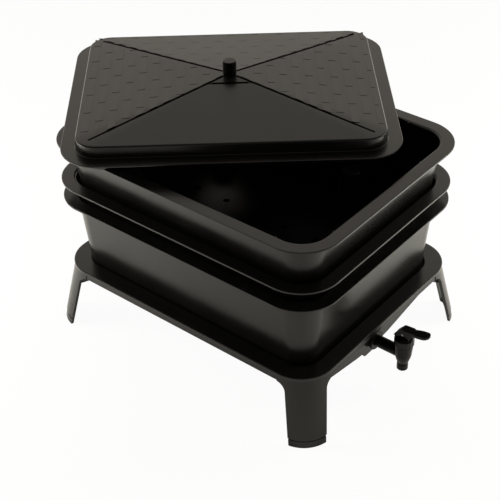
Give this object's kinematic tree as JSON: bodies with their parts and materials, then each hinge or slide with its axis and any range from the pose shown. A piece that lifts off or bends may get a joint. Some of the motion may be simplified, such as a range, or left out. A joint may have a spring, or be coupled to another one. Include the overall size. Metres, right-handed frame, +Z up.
{
  "type": "wormery",
  "caption": "Black plastic wormery: worm trays nested on a legged sump base, a thumb-lever drain tap at one end, and a hipped lid with a fluted knob laid askew on the top tray",
  "frame": {"origin": "on the ground under the middle of the whole object, lid included", "axes": "+X is the long way of the trays, towards the tap; +Y is away from the front long side; +Z is up"},
  "size_m": [0.5434, 0.4454, 0.335],
  "materials": {
    "moulded_black": "satin moulded",
    "gloss_black": "gloss",
    "tap_grey": "satin",
    "seal_rubber": "matt",
    "plain_steel": "bright drawn"
  },
  "bodies": {
    "base": {"base": "moulded_black", "tap_body": "tap_grey", "tap_cap": "gloss_black", "tap_outer_washer": "seal_rubber", "tap_inner_washer": "seal_rubber", "tap_nut": "gloss_black", "tap_spring": "plain_steel"},
    "lower_tray": {"lower_tray": "moulded_black"},
    "middle_tray": {"middle_tray": "moulded_black"},
    "upper_tray": {"upper_tray": "moulded_black"},
    "lid": {"lid": "moulded_black", "lid_knob": "gloss_black", "knob_washer": "plain_steel", "knob_screw": "plain_steel"},
    "tap_stem": {"tap_stem": "gloss_black", "tap_valve_seal": "seal_rubber", "tap_lever_pin": "plain_steel"},
    "tap_lever": {"tap_lever": "gloss_black"}
  },
  "joints": [
    {"name": "lower_tray_lift", "type": "slide", "parent": "base", "child": "lower_tray", "axis": [0, 0, 1], "range_m": [0, 0.04]},
    {"name": "middle_tray_lift", "type": "slide", "parent": "lower_tray", "child": "middle_tray", "axis": [0, 0, 1], "range_m": [0, 0.105]},
    {"name": "upper_tray_lift", "type": "slide", "parent": "middle_tray", "child": "upper_tray", "axis": [0, 0, 1], "range_m": [0, 0.075]},
    {"name": "lid_lift", "type": "slide", "parent": "upper_tray", "child": "lid", "axis": [0, 0, 1], "range_m": [0, 0.05]},
    {"name": "stem_lift", "type": "slide", "parent": "base", "child": "tap_stem", "axis": [0, 0, 1], "range_m": [0, 0.003], "deforming": ["tap_spring"]},
    {"name": "lever_rock", "type": "hinge", "parent": "tap_stem", "child": "tap_lever", "pos_m": [0.23821, -0.0298, 0.0799], "axis": [0, 1, 0], "range_deg": [0, 20], "stiffness_Nm_per_rad": 0.02, "springref_deg": -17.19}
  ],
  "couplings": [
    {"joint": "lever_rock", "follows": "stem_lift", "rad_per_m": 116.3}
  ]
}
